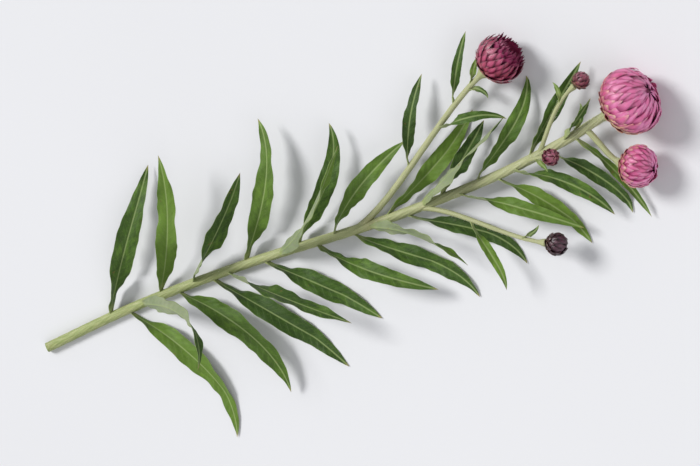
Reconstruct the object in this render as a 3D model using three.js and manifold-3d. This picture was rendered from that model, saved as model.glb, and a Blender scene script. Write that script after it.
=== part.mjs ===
// A cut strawflower stem lying on a flat surface: one branching stem with its leaves, three
// flower heads and three buds. Millimetres, +Z up, cut end towards -X, flower heads towards +X.
import * as THREE from "three";
import { mergeVertices } from "three/addons/utils/BufferGeometryUtils.js";
import Module from "manifold-3d";

const wasm = await Module();
wasm.setup();

// Driving dimensions. Points are [x, y, z] with the cut end of the stem at x = 0.
const ORIGIN = [208.6, -5.9, 0]; // the middle of the whole stem's footprint, on the surface
const GAP = 0.35; // clearance between two pieces that touch
const GOLDEN_ANGLE = 137.508; // degrees from one bract or leaf to the next, as in the real plant
const SURFACE_CLEARANCE = 0.9; // lowest height of a leaf's middle line
const COLOURS = {
  stem: 0x8f9d5f,
  leaf: 0x3c6b2a,
  pink: 0xc9569b,
  crimson: 0x8e2350,
  burgundy: 0x4b1430,
  disc: 0xc8641c,
};

const STEM = {
  path: [
    [0, 0, 2.8],
    [80, 4, 3.0],
    [165, 3, 3.9],
    [250, -2, 6.0],
    [320, -2, 8.4],
    [365, 2, 10.2],
    [382, 5, 11.8],
    [393, 6.5, 14.3],
  ],
  baseRadius: 3.0,
  tipRadius: 2.1,
  cutSlope: 0.7, // how far the slanting cut runs along the stem, for each unit across it
  steps: 34,
  sides: 8,
};

// Side stalks. Each is a cubic curve from a fork in the main stem at x to the base of its head.
const STALKS = {
  right_head: {
    fork: 377,
    bend: [[381, -2, 11.0], [382.5, -15.5, 9.0]],
    end: [388.5, -18.6, 11.2],
    radius: [1.6, 1.3],
    flare: 3.0,
  },
  left_head: {
    fork: 235,
    bend: [[264, 3, 8.2], [310, 41, 7.4]],
    end: [340, 49, 11.25],
    radius: [1.9, 1.4],
    flare: 3.6,
  },
  right_bud: {
    fork: 275,
    bend: [[297, -8, 10.5], [318, -33, 14]],
    end: [339, -42, 16.4],
    radius: [1.4, 1.0],
    flare: 2.1,
  },
  left_bud: {
    fork: 349,
    bend: [[357, 5, 13.5], [366, 20.5, 13.5]],
    end: [380.5, 25, 13.2],
    radius: [1.2, 0.9],
    flare: 1.7,
  },
  upper_bud: {
    fork: 341,
    bend: [[348, -0.5, 13], [352, -1.2, 16.5]],
    end: [356.5, -2.2, 20.5],
    radius: [1.2, 0.9],
    flare: 1.7,
  },
};
const STALK_STEPS = 9;
const STALK_SIDES = 6;
const END_FLARE = 4.6; // radius of the main stem's swollen end
const FLARE_LENGTH = 6; // a stalk swells over this length under its head

// Flower heads. The body is an ellipse turned about the head's axis, radius and halfHeight its
// half axes. Bracts stand on it in one golden-angle spiral from the base (the first value of each
// pair) to the mouth (the second): latitude of the tip, length, width, lift off the body at the
// root and flare away from it at the tip. A crowding above 1 sets more of them near the mouth.
const HEADS = {
  head_main_bracts: {
    stalk: "main",
    colour: "pink",
    radius: 15.0,
    halfHeight: 10.8,
    latitude: [-44, 76],
    count: 48,
    crowding: 1.6,
    length: [8, 13.5],
    width: [6.2, 8.2],
    lift: [26, 16],
    flare: [14, -4],
    mouth: 3.4,
    mouthDepth: 4.5,
  },
  head_right_bracts: {
    stalk: "right_head",
    colour: "pink",
    radius: 9.4,
    halfHeight: 8.0,
    latitude: [-40, 80],
    count: 24,
    crowding: 1.6,
    length: [6.5, 10],
    width: [5.4, 6.8],
    lift: [26, 16],
    flare: [14, -2],
    mouth: 1.4,
    mouthDepth: 1.8,
  },
  head_left_bracts: {
    stalk: "left_head",
    colour: "crimson",
    radius: 10.8,
    halfHeight: 9.0,
    latitude: [-44, 54],
    count: 31,
    crowding: 1.9,
    length: [7, 11.4],
    width: [5.5, 6.6],
    lift: [25, 12],
    flare: [15, 18],
    mouth: 6.4,
    mouthDepth: 5.2,
  },
  bud_right_bracts: {
    stalk: "right_bud",
    colour: "burgundy",
    radius: 5.4,
    halfHeight: 5.5,
    latitude: [-34, 82],
    count: 13,
    crowding: 1.2,
    length: [5.2, 6.8],
    width: [4.6, 4.9],
    lift: [30, 16],
    flare: [12, -2],
    mouth: 0,
    mouthDepth: 0,
  },
  bud_left_bracts: {
    stalk: "left_bud",
    colour: "crimson",
    radius: 4.0,
    halfHeight: 4.4,
    latitude: [-30, 82],
    count: 10,
    crowding: 1.2,
    length: [4.4, 5.6],
    width: [3.9, 4.1],
    lift: [32, 18],
    flare: [12, -2],
    mouth: 0,
    mouthDepth: 0,
  },
  bud_upper_bracts: {
    stalk: "upper_bud",
    colour: "crimson",
    radius: 4.0,
    halfHeight: 4.6,
    latitude: [-30, 82],
    count: 10,
    crowding: 1.2,
    length: [4.4, 5.6],
    width: [3.9, 4.1],
    lift: [32, 18],
    flare: [12, -2],
    mouth: 0,
    mouthDepth: 0,
  },
};
const BRACT = {
  thickness: 0.9,
  tipHalfWidth: 0.35,
  sink: 0.9, // how deep a bract's root lies in the head's body
  rootShare: 0.62, // width at the root, as a share of the full width
  stations: [0, 0.55, 1], // shares of the length, from root to tip
  across: [-1, 0, 1], // shares of the half width, from edge to edge
};
const BODY_RINGS = 6;
const BODY_SIDES = 14;
const DISC = { head: "head_left_bracts", rim: 0.9, dome: 1.6, bumpRings: 3, bumpHeight: 0.8 };

// Leaves on the main stem. A leaf's turn is the side it grows on, in degrees from straight up,
// positive to the left (+Y). Those that would grow down lie along the surface on the nearer side.
const LEAVES = {
  count: 27,
  firstAt: 60,
  spacing: [13.4, 10.2],
  firstTurn: 75,
  length: [98, 54],
  width: [15.5, 8.5],
  sideTurn: 93,
};
// Seeds of the first leaf of each kind.
const FIRST_SEED = { main: 0, placed: 30, small: 50 };
// Leaves that depart from the rule, so that they pass clear of their neighbours.
const ALTERED = {
  leaf_06: { seed: 106 },
  leaf_17: { habit: { spread: [19, 40], lift: 0.02, sag: 0.5 } },
  leaf_19: { seed: 219 },
  leaf_20: { length: 44, habit: { spread: [30, 44], lift: 0.16, sag: 0.5, curl: 0 } },
  leaf_21: { habit: { spread: [30, 44], lift: -0.1, sag: 0.3, curl: 0 } },
  leaf_24: { turn: -62 },
  leaf_26: { habit: { spread: [46, 74] } },
  leaf_27: { turn: 40, length: 27, width: 5, habit: { spread: [24, 34], swing: 8, lift: 0.1, sag: 0.3 } },
};
// Leaves under the forks and on the side stalks, at x on the main stem or at a share of a stalk.
const PLACED_LEAVES = [
  { name: "leaf_fork_right", stalk: "main", x: 371, turn: -96, length: 52, width: 5.4,
    habit: { spread: [66, 92], lift: 0, sag: 0.1 } },
  { name: "leaf_fork_left", stalk: "left_head", at: 0.45, turn: 82, length: 48, width: 8 },
  { name: "leaf_left_stalk", stalk: "left_head", at: 0.66, turn: -60, length: 38, width: 6 },
  { name: "leaf_left_under", stalk: "left_head", at: 0.78, turn: 85, length: 36, width: 5.5 },
  { name: "leaf_right_stalk", stalk: "right_bud", at: 0.45, turn: -84, length: 40, width: 6 },
];
// Small leaves right under the heads, grown into their stalks.
const SMALL_LEAVES = [
  { stalk: "main", x: 372, turn: 105, length: 15, width: 3 },
  { stalk: "left_head", at: 0.9, turn: 75, length: 14, width: 3.6 },
  { stalk: "left_head", at: 0.87, turn: -75, length: 13, width: 3.2 },
  { stalk: "right_bud", at: 0.82, turn: 60, length: 12, width: 2.8 },
  { stalk: "left_bud", at: 0.76, turn: 80, length: 11, width: 2.8 },
  { stalk: "upper_bud", at: 0.5, turn: -70, length: 11, width: 3 },
];
const LEAF = {
  standOff: 0.55, // from the foot of the clearance to a leaf's middle line at its root
  ribThickness: 1.1,
  edgeThickness: 0.75,
  rootWidth: 3.0,
  tipHalfWidth: 0.35,
  fold: 0.22, // rise of the edges over the midrib, for each unit across
  wave: 1.2, // height of the waves along the edges
  waves: 2.5, // how many of them from root to tip
  lineSteps: 24, // steps in which the middle line is drawn
  stations: 8, // cross sections on it after the first
  across: [-1, 0, 1], // shares of the half width, from edge to edge
};
const SMALL_LEAF = { sink: 0.6, stations: 4 };

const UP = new THREE.Vector3(0, 0, 1);
const radians = THREE.MathUtils.degToRad;
const lerp = THREE.MathUtils.lerp;
const smooth = THREE.MathUtils.smoothstep;
const vector = (p) => new THREE.Vector3(...p);

// A repeatable draw between -1 and 1.
function draw(seed) {
  const x = Math.sin(seed * 127.1 + 311.7) * 43758.5453;
  return 2 * (x - Math.floor(x)) - 1;
}

function solidOf(geometry) {
  const bare = geometry.index ? geometry.toNonIndexed() : geometry.clone();
  bare.deleteAttribute("normal");
  bare.deleteAttribute("uv");
  const merged = mergeVertices(bare, 1e-4);
  return new wasm.Manifold(
    new wasm.Mesh({
      numProp: 3,
      vertProperties: new Float32Array(merged.attributes.position.array),
      triVerts: new Uint32Array(merged.index.array),
    }),
  );
}

function geometryOf(solid) {
  const made = solid.getMesh();
  const geometry = new THREE.BufferGeometry();
  geometry.setAttribute("position", new THREE.BufferAttribute(made.vertProperties, 3));
  geometry.setIndex(new THREE.BufferAttribute(made.triVerts, 1));
  geometry.computeVertexNormals();
  return geometry;
}

// Joins closed geometries into one, and keeps its largest body.
function fused(geometries) {
  const joined = wasm.Manifold.union(geometries.map(solidOf));
  const bodies = joined.decompose().sort((a, b) => b.volume() - a.volume());
  return geometryOf(bodies[0]);
}

function indexed(positions, index) {
  const geometry = new THREE.BufferGeometry();
  geometry.setAttribute("position", new THREE.Float32BufferAttribute(positions, 3));
  geometry.setIndex(index);
  return geometry;
}

// A closed thin sheet. rows run from root to tip, and each holds points across the sheet with
// their middle, normal and thickness. Both faces are split into triangles alike.
function sheet(rows) {
  const across = rows[0].length;
  const positions = [];
  for (const side of [0.5, -0.5]) {
    for (const p of rows.flat()) {
      positions.push(...p.middle.clone().addScaledVector(p.normal, side * p.thickness).toArray());
    }
  }
  const top = (i, j) => i * across + j;
  const low = (i, j) => rows.length * across + top(i, j);
  const index = [];
  const quad = (a, b, c, d) => index.push(a, b, c, a, c, d);
  for (let i = 0; i + 1 < rows.length; i++) {
    for (let j = 0; j + 1 < across; j++) {
      quad(top(i, j), top(i + 1, j), top(i + 1, j + 1), top(i, j + 1));
      index.push(low(i, j), low(i + 1, j + 1), low(i + 1, j));
      index.push(low(i, j), low(i, j + 1), low(i + 1, j + 1));
    }
    quad(low(i, 0), low(i + 1, 0), top(i + 1, 0), top(i, 0));
    quad(top(i, across - 1), top(i + 1, across - 1), low(i + 1, across - 1), low(i, across - 1));
  }
  const last = rows.length - 1;
  for (let j = 0; j + 1 < across; j++) {
    quad(low(0, j), top(0, j), top(0, j + 1), low(0, j + 1));
    quad(low(last, j), low(last, j + 1), top(last, j + 1), top(last, j));
  }
  return indexed(positions, index);
}

// A closed round bar along a curve, with a flat or slanting end at its start.
function bar(curve, radiusAt, steps, sides, slope = 0) {
  const positions = [];
  const index = [];
  for (let i = 0; i <= steps; i++) {
    const t = i / steps;
    const middle = curve.getPoint(t);
    const along = curve.getTangent(t);
    const side = UP.clone().cross(along).normalize();
    const rise = along.clone().cross(side);
    for (let k = 0; k < sides; k++) {
      const turn = ((k + 0.5) * 2 * Math.PI) / sides;
      const r = radiusAt(t);
      const p = middle.clone().addScaledVector(side, r * Math.cos(turn));
      p.addScaledVector(rise, r * Math.sin(turn));
      if (i === 0) p.addScaledVector(along, slope * r * (1 + Math.sin(turn)));
      positions.push(...p.toArray());
    }
  }
  for (let i = 0; i < steps; i++) {
    for (let k = 0; k < sides; k++) {
      const a = i * sides + k;
      const b = i * sides + ((k + 1) % sides);
      index.push(a, b, b + sides, a, b + sides, a + sides);
    }
  }
  const end = steps * sides;
  for (let k = 1; k + 1 < sides; k++) {
    index.push(0, k + 1, k, end, end + k, end + k + 1);
  }
  return indexed(positions, index);
}

const mainCurve = new THREE.CatmullRomCurve3(STEM.path.map(vector), false, "catmullrom", 0.5);

// The main stem's curve parameter at a distance x from the cut end.
function stemParameter(x) {
  let low = 0;
  let high = 1;
  for (let i = 0; i < 40; i++) {
    const middle = (low + high) / 2;
    if (mainCurve.getPoint(middle).x < x) low = middle;
    else high = middle;
  }
  return low;
}

// Every stalk as a curve with its radius at each parameter, the main stem included.
function stalkOf(name) {
  if (name === "main") {
    return {
      curve: mainCurve,
      radiusAt: (t) => lerp(lerp(STEM.baseRadius, STEM.tipRadius, t), END_FLARE, swelling(mainCurve, t)),
    };
  }
  const stalk = STALKS[name];
  const start = mainCurve.getPoint(stemParameter(stalk.fork));
  const curve = new THREE.CubicBezierCurve3(start, ...stalk.bend.map(vector), vector(stalk.end));
  return {
    curve,
    radiusAt: (t) => lerp(lerp(...stalk.radius, t), stalk.flare, swelling(curve, t)),
  };
}

// How far a stalk has swollen at a parameter: 0 along most of it, 1 where its head sits.
function swelling(curve, t) {
  const left = curve.getPoint(t).distanceTo(curve.getPoint(1));
  return smooth(1 - left / FLARE_LENGTH, 0, 1) ** 1.5;
}

// A leaf's habit, drawn from its seed: how it leaves the stalk, curls, bends aside, sinks and rolls.
function leafHabit(spec, seed) {
  const side = spec.turn >= 0 ? 1 : -1;
  const upright = Math.max(0, Math.cos(radians(spec.turn))); // 0 for a leaf on the surface
  return {
    spread: [33 + 8 * draw(seed + 0.1), 54 + 34 * draw(seed + 0.2)],
    curl: 70 * Math.max(0, draw(seed + 0.8)),
    swing: side * upright * (42 + 20 * draw(seed + 0.3)),
    lift: (0.28 + 0.24 * draw(seed + 0.7)) * (1 - upright),
    sag: 0.62 + 0.24 * draw(seed + 0.4) + 0.2 * upright,
    roll: 20 * draw(seed + 0.5),
    facing: 0.9 * smooth(Math.abs(spec.turn), 20, 60), // 1 turns the upper face right up
    phase: 3 * draw(seed + 0.6),
    ...spec.habit,
  };
}

// The middle line of a leaf: it leaves the stalk at a slant, arches away and sinks to the surface.
function leafLine(spec, habit) {
  const { curve, radiusAt } = stalkOf(spec.stalk);
  const at = spec.x === undefined ? spec.at : stemParameter(spec.x);
  const along = curve.getTangent(at);
  const rise = UP.clone().addScaledVector(along, -UP.dot(along)).normalize();
  const left = rise.clone().cross(along);
  const outwards = (turn) =>
    left.clone().multiplyScalar(Math.sin(radians(turn))).addScaledVector(rise, Math.cos(radians(turn)));
  const point = curve.getPoint(at);
  point.addScaledVector(outwards(spec.turn), radiusAt(at) + spec.offset);
  const points = [point.clone()];
  const natural = [];
  for (let i = 0; i <= LEAF.lineSteps; i++) {
    const s = i / LEAF.lineSteps;
    const spread = radians(lerp(...habit.spread, s) + habit.curl * s ** 3);
    const out = outwards(spec.turn + habit.swing * s);
    const step = along.clone().multiplyScalar(Math.cos(spread)).addScaledVector(out, Math.sin(spread));
    natural.push(along.clone().multiplyScalar(Math.sin(spread)).addScaledVector(out, -Math.cos(spread)));
    step.z += habit.lift - habit.sag * s;
    point.addScaledVector(step.normalize(), spec.length / LEAF.lineSteps);
    point.z = Math.max(point.z, SURFACE_CLEARANCE);
    points.push(point.clone());
  }
  return { points, natural };
}

// The direction a leaf's upper face looks in. Its base faces the stem; further out it turns up.
function leafFace(tangent, natural, habit, s) {
  const level = UP.clone().addScaledVector(tangent, -UP.dot(tangent)).normalize();
  const start = natural.clone().addScaledVector(tangent, -natural.dot(tangent)).normalize();
  const angle = Math.atan2(level.clone().cross(start).dot(tangent), level.dot(start));
  const end = angle * (1 - habit.facing) + radians(habit.roll);
  return level.applyAxisAngle(tangent, lerp(angle, end, smooth(s, 0, 0.6)));
}

// A leaf or small leaf, with folded and waving edges. What meets the surface lies on it.
function leafSheet(spec, seed) {
  const habit = leafHabit(spec, seed);
  const { points, natural } = leafLine(spec, habit);
  const rows = [];
  for (let i = 0; i <= spec.stations; i++) {
    const s = i / spec.stations;
    const k = Math.round(s * LEAF.lineSteps);
    const tangent = points[k + 1].clone().sub(points[Math.max(0, k - 1)]).normalize();
    const face = leafFace(tangent, natural[k], habit, s);
    const across = face.clone().cross(tangent);
    const half = leafHalfWidth(spec, s);
    rows.push(
      LEAF.across.map((u) => {
        const ripple = Math.sin(2 * Math.PI * LEAF.waves * s + u * 1.3 + habit.phase);
        const fold = LEAF.fold * Math.abs(u) * half * Math.min(1, 5 * s);
        const bend = fold + LEAF.wave * ripple * Math.min(1, half / 5) * u * u;
        const thickness = lerp(LEAF.ribThickness, LEAF.edgeThickness, Math.abs(u));
        const middle = points[k].clone().addScaledVector(across, u * half).addScaledVector(face, bend);
        middle.z = Math.max(middle.z, 0.5 * thickness * Math.abs(face.z));
        return { middle, normal: face, thickness };
      }),
    );
  }
  return sheet(rows);
}

function leafHalfWidth(spec, s) {
  const root = 0.5 * Math.min(LEAF.rootWidth, 0.7 * spec.width);
  const body = 1.45 * spec.width * Math.pow(s, 0.9) * Math.pow(1 - s, 0.92);
  return Math.max(LEAF.tipHalfWidth, root * (1 - s) ** 3 + body);
}

// The parts of a head's shape that its body and its bracts share.
function headForm(head) {
  const centre = head.halfHeight * 0.97;
  const point = (latitude) => ({
    r: head.radius * Math.cos(latitude),
    z: centre + head.halfHeight * Math.sin(latitude),
  });
  // The slope of the body at a latitude: 0 straight up, a quarter turn straight out.
  const slope = (latitude) =>
    Math.atan2(-head.radius * Math.sin(latitude), head.halfHeight * Math.cos(latitude));
  const speed = (latitude) =>
    Math.hypot(head.radius * Math.sin(latitude), head.halfHeight * Math.cos(latitude));
  return { centre, point, slope, speed };
}

// The head's body, turned about its axis, with a hollow at the mouth where the head is open.
function headBody(head) {
  const form = headForm(head);
  const first = Math.asin((GAP - form.centre) / head.halfHeight);
  const last = head.mouth > 0 ? Math.acos(head.mouth / head.radius) : Math.PI / 2;
  const profile = [new THREE.Vector2(0, GAP)];
  for (let i = 0; i <= BODY_RINGS; i++) {
    const p = form.point(lerp(first, last, i / BODY_RINGS));
    profile.push(new THREE.Vector2(i === BODY_RINGS && head.mouth === 0 ? 0 : p.r, p.z));
  }
  if (head.mouth > 0) {
    const floor = form.point(last).z - head.mouthDepth;
    profile.push(new THREE.Vector2(head.mouth * 0.98, floor), new THREE.Vector2(0, floor));
  }
  return new THREE.LatheGeometry(profile, BODY_SIDES).rotateX(Math.PI / 2);
}

// One bract: a pointed shingle whose root is sunk in the body and whose tip stands off it.
function bractSheet(head, j) {
  const form = headForm(head);
  const share = (j + 0.5) / head.count;
  const low = Math.sin(radians(head.latitude[0]));
  const high = Math.sin(radians(head.latitude[1]));
  const tip = Math.asin(lerp(low, high, 1 - (1 - share) ** head.crowding));
  const turn = radians(j * GOLDEN_ANGLE + 5 * draw(j + 0.2));
  const length = lerp(...head.length, Math.min(1, 2 * share)) * (1 + 0.06 * draw(j + 0.4));
  const width = lerp(...head.width, share);
  const latitude = tip - length / form.speed(tip);
  const slope0 = form.slope(latitude) + radians(lerp(...head.lift, share));
  const slope1 = form.slope(tip) + radians(lerp(...head.flare, share) + 4 * draw(j + 0.6));
  const root = form.point(latitude);
  const normal0 = form.slope(latitude);
  let r = root.r - BRACT.sink * Math.cos(normal0);
  let z = root.z + BRACT.sink * Math.sin(normal0);
  const rows = [];
  let before = 0;
  for (const s of BRACT.stations) {
    const slope = lerp(slope0, slope1, s);
    const step = (s - before) * length;
    const middleSlope = lerp(slope0, slope1, (s + before) / 2);
    r += step * Math.sin(middleSlope);
    z += step * Math.cos(middleSlope);
    before = s;
    const half = bractHalfWidth(width, s);
    rows.push(
      BRACT.across.map((u) => {
        const sag = (u * half) ** 2 / (2 * head.radius);
        const radial = r - sag * Math.cos(slope);
        const tangential = -u * half;
        return {
          middle: new THREE.Vector3(
            radial * Math.cos(turn) - tangential * Math.sin(turn),
            radial * Math.sin(turn) + tangential * Math.cos(turn),
            z + sag * Math.sin(slope),
          ),
          normal: new THREE.Vector3(
            Math.cos(slope) * Math.cos(turn),
            Math.cos(slope) * Math.sin(turn),
            -Math.sin(slope),
          ),
          thickness: BRACT.thickness,
        };
      }),
    );
  }
  return sheet(rows);
}

function bractHalfWidth(width, s) {
  const body = Math.sin(Math.PI * Math.min(1, 0.24 + 0.76 * s)) ** 0.7;
  const half = 0.5 * width * lerp(BRACT.rootShare, 1, smooth(s, 0, 0.4)) * body;
  return Math.max(BRACT.tipHalfWidth, half);
}

// The disc of tiny florets in the open head, as a low dome with rings of bumps.
function discSolid(head) {
  const form = headForm(head);
  const last = Math.acos(head.mouth / head.radius);
  const floor = form.point(last).z - head.mouthDepth + GAP;
  const radius = head.mouth * 0.98 - GAP - 0.25;
  const profile = [new THREE.Vector2(0, floor), new THREE.Vector2(radius, floor)];
  const samples = DISC.bumpRings * 2;
  for (let i = 0; i <= samples; i++) {
    const share = 1 - i / samples;
    const height = DISC.rim + DISC.dome * (1 - share * share) + (i % 2) * DISC.bumpHeight;
    profile.push(new THREE.Vector2(radius * share, floor + height));
  }
  return new THREE.LatheGeometry(profile, BODY_SIDES).rotateX(Math.PI / 2);
}

function material(colour, roughness = 0.6) {
  return new THREE.MeshStandardMaterial({ color: colour, roughness, metalness: 0 });
}

const flower = new THREE.Group();
flower.position.set(...ORIGIN.map((v) => -v));
const stemMaterial = material(COLOURS.stem, 0.7);
const leafMaterial = material(COLOURS.leaf, 0.55);

function add(parent, name, geometry, finish) {
  const mesh = new THREE.Mesh(geometry, finish);
  mesh.name = name;
  parent.add(mesh);
}

function addStem() {
  const bars = [bar(mainCurve, stalkOf("main").radiusAt, STEM.steps, STEM.sides, STEM.cutSlope)];
  for (const name of Object.keys(STALKS)) {
    const { curve, radiusAt } = stalkOf(name);
    bars.push(bar(curve, radiusAt, STALK_STEPS, STALK_SIDES));
  }
  SMALL_LEAVES.forEach((spec, i) => {
    const grown = { ...spec, offset: -SMALL_LEAF.sink, stations: SMALL_LEAF.stations };
    bars.push(leafSheet(grown, FIRST_SEED.small + i));
  });
  add(flower, "stem", fused(bars), stemMaterial);
}

// The place, side and size of one of the main stem's leaves, from its number in the spiral.
function mainLeaf(i, name) {
  const seed = ALTERED[name]?.seed ?? FIRST_SEED.main + i;
  const share = i / (LEAVES.count - 1);
  const free = ((LEAVES.firstTurn + i * GOLDEN_ANGLE + 180) % 360) - 180;
  return {
    seed,
    stalk: "main",
    x: LEAVES.firstAt + i * lerp(...LEAVES.spacing, share / 2),
    turn: Math.abs(free) > LEAVES.sideTurn ? Math.sign(free) * LEAVES.sideTurn : free,
    length: lerp(...LEAVES.length, share) * (1 + 0.12 * draw(seed + 0.15)),
    width: lerp(...LEAVES.width, share) * (1 + 0.1 * draw(seed + 0.25)),
    ...ALTERED[name],
  };
}

function addLeaves() {
  const form = { offset: GAP + LEAF.standOff, stations: LEAF.stations };
  for (let i = 0; i < LEAVES.count; i++) {
    const name = "leaf_" + String(i + 1).padStart(2, "0");
    const spec = mainLeaf(i, name);
    add(flower, name, leafSheet({ ...form, ...spec }, spec.seed), leafMaterial);
  }
  PLACED_LEAVES.forEach((spec, i) => {
    add(flower, spec.name, leafSheet({ ...form, ...spec }, FIRST_SEED.placed + i), leafMaterial);
  });
}

function addHeads() {
  for (const [name, head] of Object.entries(HEADS)) {
    const { curve } = stalkOf(head.stalk);
    const place = new THREE.Group();
    place.position.copy(curve.getPoint(1));
    place.quaternion.setFromUnitVectors(UP, curve.getTangent(1));
    flower.add(place);
    const sheets = Array.from({ length: head.count }, (_, j) => bractSheet(head, j));
    add(place, name, fused([headBody(head), ...sheets]), material(COLOURS[head.colour]));
    if (DISC.head === name) {
      add(place, "head_left_disc", geometryOf(solidOf(discSolid(head))), material(COLOURS.disc));
    }
  }
}

addStem();
addLeaves();
addHeads();

export default flower;
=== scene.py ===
"""The looks of a cut strawflower stem lying on a surface.

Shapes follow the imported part's rules and are worked out in millimetres, with the stem's cut end
at x = 0. Piece.build() moves them to the part's frame, in metres."""

import math
from functools import cache
from math import cos, radians, sin
from types import SimpleNamespace

import bpy
import numpy as np
from mathutils import Matrix, Vector


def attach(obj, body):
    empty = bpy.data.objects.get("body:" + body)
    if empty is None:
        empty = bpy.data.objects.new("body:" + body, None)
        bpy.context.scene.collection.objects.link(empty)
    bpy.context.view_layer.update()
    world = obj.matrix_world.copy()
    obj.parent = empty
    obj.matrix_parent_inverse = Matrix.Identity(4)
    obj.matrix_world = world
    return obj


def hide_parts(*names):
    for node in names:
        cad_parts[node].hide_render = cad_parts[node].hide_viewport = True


ORIGIN = np.array([208.6, -5.9, 0.0])  # the frame's origin, in these millimetres
MILLIMETRE = 0.001
FULL_TURN = 2 * math.pi
UP = np.array([0.0, 0.0, 1.0])
GAP = 0.35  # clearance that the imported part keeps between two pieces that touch
GOLDEN_ANGLE = 137.508  # degrees from one bract or leaf to the next
SURFACE_CLEARANCE = 0.9  # lowest height of a leaf's middle line

# Stalks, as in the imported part. A side stalk is a cubic curve that leaves the main stem where x
# is its fork, runs by the two knots of its bend and ends under a head. Its two radii are those
# at its ends, and flare is the radius that it swells to at its head.
STEM_PATH = np.array([
    [0, 0, 2.8], [80, 4, 3.0], [165, 3, 3.9], [250, -2, 6.0],
    [320, -2, 8.4], [365, 2, 10.2], [382, 5, 11.8], [393, 6.5, 14.3],
])
SIDE_STALKS = {
    "right_head": {"fork": 377, "bend": [[381, -2, 11.0], [382.5, -15.5, 9.0]],
                   "end": [388.5, -18.6, 11.2], "radius": (1.6, 1.3), "flare": 3.0},
    "left_head": {"fork": 235, "bend": [[264, 3, 8.2], [310, 41, 7.4]],
                  "end": [340, 49, 11.25], "radius": (1.9, 1.4), "flare": 3.6},
    "right_bud": {"fork": 275, "bend": [[297, -8, 10.5], [318, -33, 14]],
                  "end": [339, -42, 16.4], "radius": (1.4, 1.0), "flare": 2.1},
    "left_bud": {"fork": 349, "bend": [[357, 5, 13.5], [366, 20.5, 13.5]],
                 "end": [380.5, 25, 13.2], "radius": (1.2, 0.9), "flare": 1.7},
    "upper_bud": {"fork": 341, "bend": [[348, -0.5, 13], [352, -1.2, 16.5]],
                  "end": [356.5, -2.2, 20.5], "radius": (1.2, 0.9), "flare": 1.7},
}
STALKS = {"main": {"radius": (3.0, 2.1), "flare": 4.6}, **SIDE_STALKS}
STALK_GRID = {"main": (300, 54), "side": (70, 36)}  # steps along a stalk and points round it
FLARE_LENGTH = 6  # a stalk swells over this length under its head
RIBS = SimpleNamespace(count=9, middle=0.98, height=0.055, twist=0.012)  # shares, turns for each mm
CUT = SimpleNamespace(
    slope=0.7,  # how far the slanting cut runs along the stem, for each unit across it
    steps=4,  # rings over which the slant fades
    bulge=-0.5,  # place along the stem of the pith's middle, which stands out of the cut
    rings=[(0.35, -0.45), (0.62, -0.3), (0.74, -0.05), (0.93, 0.0), (1.0, 0.12)],
)
HAIRS = SimpleNamespace(
    count={"main": 5200, "right_head": 320, "left_head": 1500, "right_bud": 900,
           "left_bud": 420, "upper_bud": 200},
    seed=7, foot=0.035, length=(0.5, 1.3), sunk=0.1, lean=0.55,
    along=(0.01, 0.985),  # the share of each stalk that carries them
    root=0.95,  # how far out their feet lie, as a share of the stalk's radius
    clearance=0.3,  # a hair that would end lower than this is left out
)

# Heads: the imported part's bodies and habit, with more and finer bracts. The first value of a pair
# is for the base and the second for the mouth. Lift turns a bract's root off the body and flare
# its tip, in degrees. A crowding above 1 sets more of them near the mouth. The rings at the mouth
# hold their count, radius, depth under the rim, length and slopes at root and tip, in degrees.
BUD = {"crowding": 1.7, "flare": (12, -4), "point": 0.85, "mouth": 0, "mouth_rings": []}
SMALL_BUD = {**BUD, "finish": "dusk", "radius": 4.0, "latitude": (-52, 88), "count": 42,
             "length": (3.0, 5.4), "width": (2.7, 2.8), "lift": (30, 15)}
HEADS = {
    "head_main_bracts": {
        "stalk": "main", "finish": "pink", "radius": 15.0, "half_height": 10.8,
        "latitude": (-62, 84), "count": 250, "crowding": 1.85,
        "length": (4.6, 14.5), "width": (5.0, 4.7), "lift": (27, 15), "flare": (15, -6),
        "point": 0.75, "mouth": 3.4, "mouth_depth": 4.5,
        "mouth_rings": [(13, 3.0, 1.9, 4.6, -12, -52), (9, 2.0, 0.9, 3.8, -8, -40)],
    },
    "head_right_bracts": {
        "stalk": "right_head", "finish": "pink", "radius": 9.4, "half_height": 8.0,
        "latitude": (-58, 86), "count": 125, "crowding": 1.9,
        "length": (3.8, 10.5), "width": (3.9, 4.1), "lift": (27, 15), "flare": (13, 0),
        "point": 0.75, "mouth": 1.4, "mouth_depth": 1.8,
        "mouth_rings": [(8, 1.2, 1.2, 2.6, -10, -40)],
    },
    "head_left_bracts": {
        "stalk": "left_head", "finish": "crimson", "radius": 10.8, "half_height": 9.0,
        "latitude": (-60, 54), "count": 115, "crowding": 1.5,
        "length": (4.4, 11.4), "width": (4.4, 4.6), "lift": (26, 12), "flare": (14, 20),
        "point": 1.05, "mouth": 6.4, "mouth_depth": 5.2,
        "mouth_rings": [(24, 6.1, 2.0, 6.6, 2, -24), (20, 5.9, 3.6, 5.6, 4, -12),
                        (24, 7.1, 2.7, 6.6, 8, -8), (22, 8.2, 3.8, 6.8, 15, 6)],
    },
    "bud_right_bracts": {
        **BUD, "stalk": "right_bud", "finish": "burgundy", "radius": 5.4, "half_height": 5.5,
        "latitude": (-55, 88), "count": 54,
        "length": (3.6, 6.6), "width": (3.2, 3.4), "lift": (30, 14),
    },
    "bud_left_bracts": {**SMALL_BUD, "stalk": "left_bud", "half_height": 4.4},
    "bud_upper_bracts": {**SMALL_BUD, "stalk": "upper_bud", "half_height": 4.6},
}
SLOTS = {"pink": "pink_bracts", "crimson": "crimson_bracts", "dusk": "crimson_bracts",
         "burgundy": "burgundy_bracts"}
BODY_SEAT = 0.97  # height of a body's middle over its stalk, as a share of its half height
BUD_TOP = 85  # latitude where a closed bud's core ends
CORE = SimpleNamespace(share=0.9, steps=16, sides=40, well=0.98)  # shares of the body and the mouth
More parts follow.
